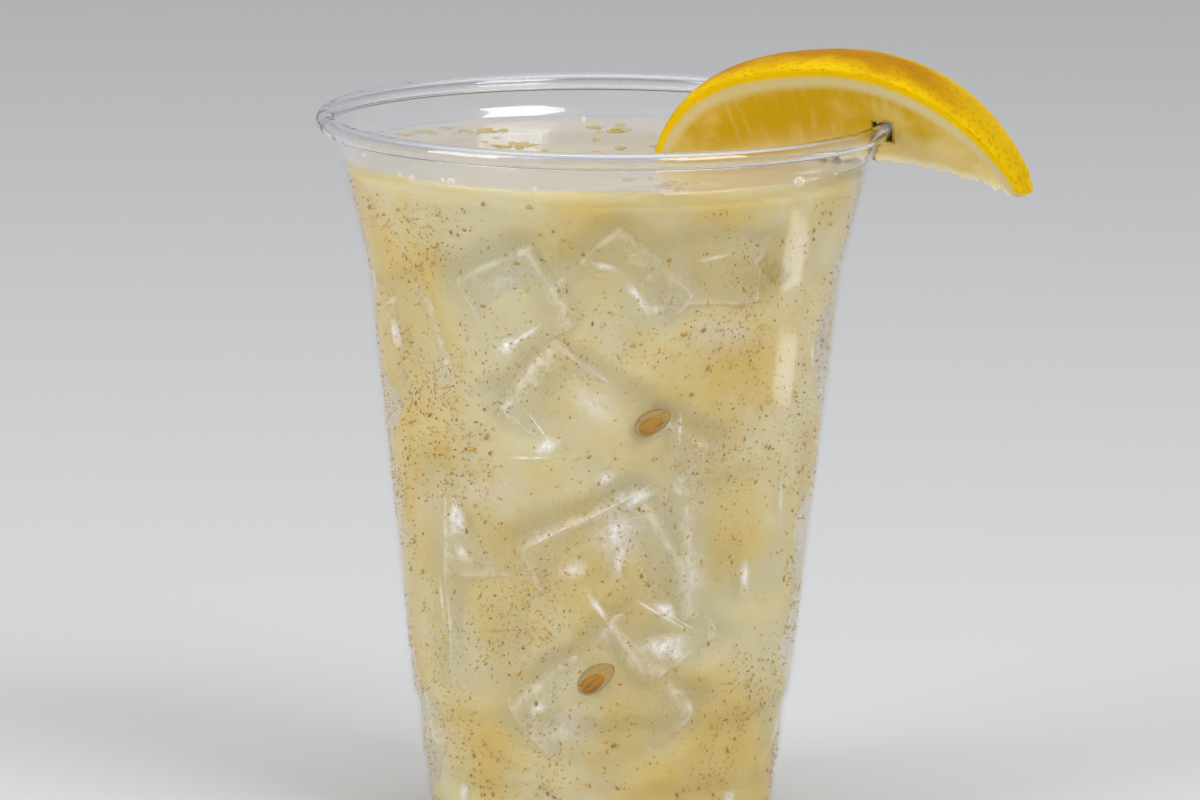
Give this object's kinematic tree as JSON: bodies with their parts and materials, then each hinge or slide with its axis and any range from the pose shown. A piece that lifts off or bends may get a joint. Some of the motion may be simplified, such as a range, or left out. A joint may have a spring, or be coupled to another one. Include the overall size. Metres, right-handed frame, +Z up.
{
  "type": "glass of lemonade",
  "caption": "Clear flared cold cup with a rolled lip, filled with cloudy iced lemonade and garnished with a lemon wedge slit over the rim.",
  "frame": {"origin": "centre of the cup's foot ring, on the table", "axes": "+Z up along the cup's axis, +X towards the side of the rim that carries the lemon wedge"},
  "size_m": [0.121, 0.098, 0.1312],
  "materials": {
    "clear_plastic": "clear, smooth formed plastic",
    "drink": "cloudy pale yellow liquid with ice and fine specks",
    "ice": "wet translucent ice",
    "seed": "wet golden brown seed",
    "specks": "fine amber zest and spice specks",
    "lemon": "waxy peel, pale pith and wet translucent flesh"
  },
  "bodies": {
    "root": {"cup": "clear_plastic", "lemonade": "drink", "lemon_wedge": "lemon"}
  },
  "joints": []
}
